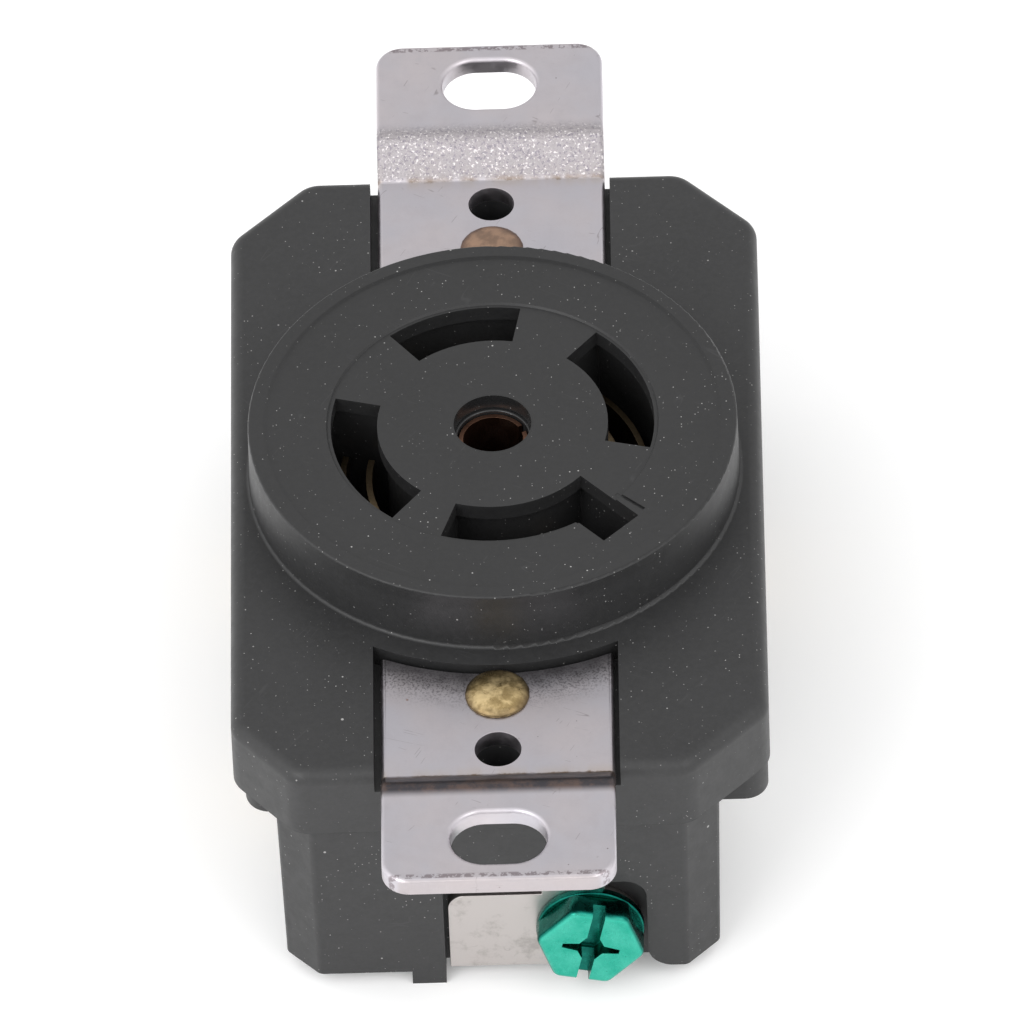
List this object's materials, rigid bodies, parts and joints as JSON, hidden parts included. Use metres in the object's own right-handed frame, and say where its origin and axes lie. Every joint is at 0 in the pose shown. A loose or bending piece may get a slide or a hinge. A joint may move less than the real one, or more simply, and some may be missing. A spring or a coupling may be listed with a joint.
{
  "type": "locking power receptacle",
  "caption": "Flush twist-locking power receptacle with a round face, curved blade slots, a centre ground sleeve, side screw terminals and slotted mounting ears.",
  "frame": {"origin": "midway between the two ear slots, level with the undersides of the mounting ears", "axes": "+Z out of the face towards the plug, +Y along the device towards the upper ear, +X across it"},
  "size_m": [0.0425, 0.0924, 0.0311],
  "materials": {
    "black_nylon_face": "fine moulded satin with dust specks",
    "black_nylon_body": "moulded satin",
    "zinc_steel": "zinc plated pressed steel, slightly pitted",
    "copper_rivet": "tarnished",
    "brass_rivet": "dull",
    "contact_brass": "bright rolled strip",
    "copper_sleeve": "dark phosphor bronze",
    "plated_strap": "plated",
    "fibre": "vulcanised fibre",
    "green_steel": "green dyed zinc, metallic",
    "clamp_steel": "zinc plated",
    "brass_screw": "turned",
    "nickel_screw": "nickel plated"
  },
  "bodies": {
    "housing": {"front_cover": "black_nylon_face", "contact_carrier": "black_nylon_body", "rear_cover": "black_nylon_body", "upper_ear": "zinc_steel", "lower_ear": "zinc_steel", "upper_rivet": "copper_rivet", "lower_rivet": "brass_rivet", "ground_strap": "plated_strap", "ground_sleeve": "copper_sleeve", "insulating_strip": "fibre", "top_contact": "contact_brass", "right_contact": "contact_brass", "left_contact": "contact_brass", "bottom_contact": "contact_brass"},
    "upper_left_clamp": {"upper_left_clamp": "clamp_steel"},
    "upper_left_screw": {"upper_left_screw": "brass_screw"},
    "upper_right_clamp": {"upper_right_clamp": "clamp_steel"},
    "upper_right_screw": {"upper_right_screw": "brass_screw"},
    "lower_left_clamp": {"lower_left_clamp": "clamp_steel"},
    "lower_left_screw": {"lower_left_screw": "brass_screw"},
    "lower_right_clamp": {"lower_right_clamp": "clamp_steel"},
    "lower_right_screw": {"lower_right_screw": "nickel_screw"},
    "ground_washer": {"ground_washer": "green_steel"},
    "ground_screw": {"ground_screw": "green_steel"}
  },
  "joints": [
    {"name": "upper_left_clamp_slide", "type": "slide", "parent": "housing", "child": "upper_left_clamp", "axis": [-1, 0, 0], "range_m": [0, 0.00238]},
    {"name": "upper_left_screw_turn", "type": "hinge", "parent": "upper_left_clamp", "child": "upper_left_screw", "pos_m": [-0.015, 0.0115, -0.0183], "axis": [-1, 0, 0], "range_deg": [0, 1080]},
    {"name": "upper_right_clamp_slide", "type": "slide", "parent": "housing", "child": "upper_right_clamp", "axis": [1, 0, 0], "range_m": [0, 0.00238]},
    {"name": "upper_right_screw_turn", "type": "hinge", "parent": "upper_right_clamp", "child": "upper_right_screw", "pos_m": [0.015, 0.0115, -0.0183], "axis": [1, 0, 0], "range_deg": [0, 1080]},
    {"name": "lower_left_clamp_slide", "type": "slide", "parent": "housing", "child": "lower_left_clamp", "axis": [-1, 0, 0], "range_m": [0, 0.00238]},
    {"name": "lower_left_screw_turn", "type": "hinge", "parent": "lower_left_clamp", "child": "lower_left_screw", "pos_m": [-0.015, -0.0115, -0.0183], "axis": [-1, 0, 0], "range_deg": [0, 1080]},
    {"name": "lower_right_clamp_slide", "type": "slide", "parent": "housing", "child": "lower_right_clamp", "axis": [1, 0, 0], "range_m": [0, 0.00238]},
    {"name": "lower_right_screw_turn", "type": "hinge", "parent": "lower_right_clamp", "child": "lower_right_screw", "pos_m": [0.015, -0.0115, -0.0183], "axis": [1, 0, 0], "range_deg": [0, 1080]},
    {"name": "ground_washer_slide", "type": "slide", "parent": "housing", "child": "ground_washer", "axis": [0, -1, 0], "range_m": [0, 0.00238]},
    {"name": "ground_screw_turn", "type": "hinge", "parent": "ground_washer", "child": "ground_screw", "pos_m": [0.00675, -0.0317, -0.0198], "axis": [0, -1, 0], "range_deg": [0, 1080]}
  ],
  "couplings": [
    {"joint": "upper_left_screw_turn", "follows": "upper_left_clamp_slide", "rad_per_m": 7915.8},
    {"joint": "upper_right_screw_turn", "follows": "upper_right_clamp_slide", "rad_per_m": 7915.8},
    {"joint": "lower_left_screw_turn", "follows": "lower_left_clamp_slide", "rad_per_m": 7915.8},
    {"joint": "lower_right_screw_turn", "follows": "lower_right_clamp_slide", "rad_per_m": 7915.8},
    {"joint": "ground_screw_turn", "follows": "ground_washer_slide", "rad_per_m": 7915.8}
  ]
}
